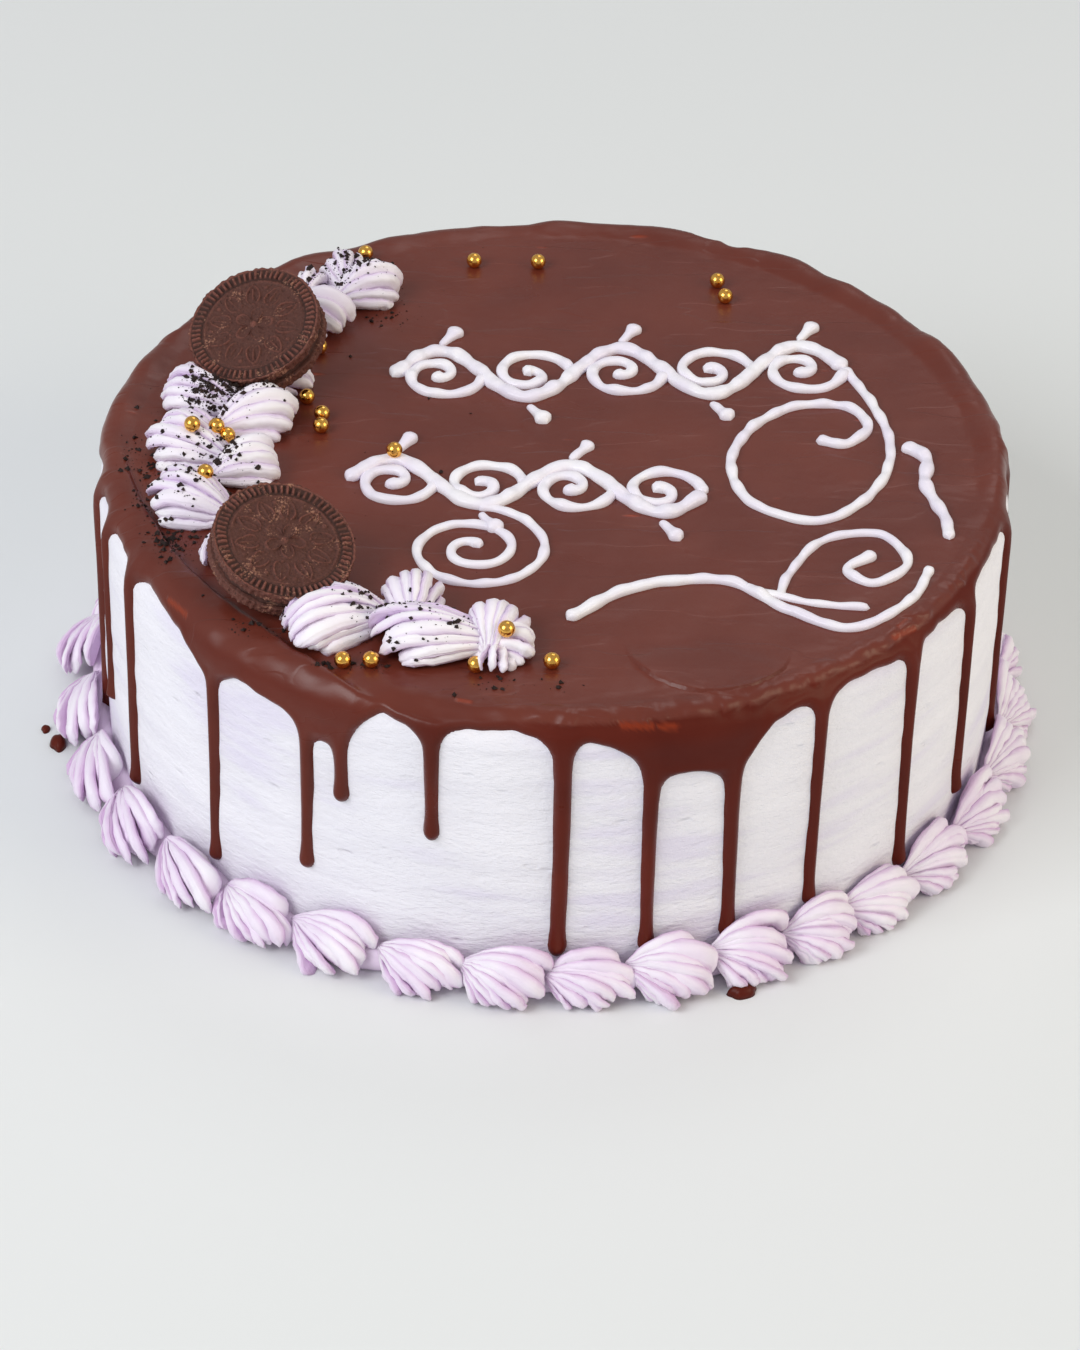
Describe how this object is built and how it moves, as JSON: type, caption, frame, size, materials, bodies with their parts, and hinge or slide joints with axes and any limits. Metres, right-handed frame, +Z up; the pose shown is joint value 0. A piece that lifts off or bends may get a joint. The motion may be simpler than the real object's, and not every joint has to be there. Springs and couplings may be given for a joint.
{
  "type": "drip cake",
  "caption": "Round frosted drip cake, uncut, with a chocolate ganache top, piped cream shells round its foot, a crescent of shells with sandwich biscuits, scrollwork and gold pearls.",
  "frame": {"origin": "middle of the cake's flat base, on the surface it stands on", "axes": "+Z up through the middle of the cake; the front, as seen in the picture, faces -Y; +X is to the viewer's right"},
  "size_m": [0.3227, 0.3229, 0.1286],
  "materials": {
    "frosting": "smoothed buttercream, matte",
    "ganache": "set chocolate ganache, soft gloss",
    "cream": "piped buttercream, pale lilac, soft sheen",
    "wafer": "dark cocoa biscuit, dry and crumbly",
    "filling": "biscuit filling, in shade between the wafers",
    "gold": "gold-coated sugar pearls, satin metallic"
  },
  "bodies": {
    "root": {"biscuit_1_base_wafer": "wafer", "biscuit_1_filling": "filling", "biscuit_1_top_wafer": "wafer", "biscuit_2_base_wafer": "wafer", "biscuit_2_filling": "filling", "biscuit_2_top_wafer": "wafer", "border_shell_01": "cream", "border_shell_02": "cream", "border_shell_03": "cream", "border_shell_04": "cream", "border_shell_05": "cream", "border_shell_06": "cream", "border_shell_07": "cream", "border_shell_08": "cream", "border_shell_09": "cream", "border_shell_10": "cream", "border_shell_11": "cream", "border_shell_12": "cream", "border_shell_13": "cream", "border_shell_14": "cream", "border_shell_15": "cream", "border_shell_16": "cream", "border_shell_17": "cream", "border_shell_18": "cream", "border_shell_19": "cream", "border_shell_20": "cream", "border_shell_21": "cream", "border_shell_22": "cream", "border_shell_23": "cream", "border_shell_24": "cream", "border_shell_25": "cream", "border_shell_26": "cream", "border_shell_27": "cream", "border_shell_28": "cream", "border_shell_29": "cream", "border_shell_30": "cream", "border_shell_31": "cream", "border_shell_32": "cream", "border_shell_33": "cream", "cake_body": "frosting", "crescent_shell_01": "cream", "crescent_shell_02": "cream", "crescent_shell_03": "cream", "crescent_shell_04": "cream", "crescent_shell_05": "cream", "crescent_shell_06": "cream", "crescent_shell_07": "cream", "crescent_shell_08": "cream", "crescent_shell_09": "cream", "crescent_shell_10": "cream", "crescent_shell_11": "cream", "crescent_shell_12": "cream", "crescent_shell_13": "cream", "crescent_shell_14": "cream", "crescent_shell_15": "cream", "crescent_shell_16": "cream", "ganache": "ganache"}
  },
  "joints": []
}
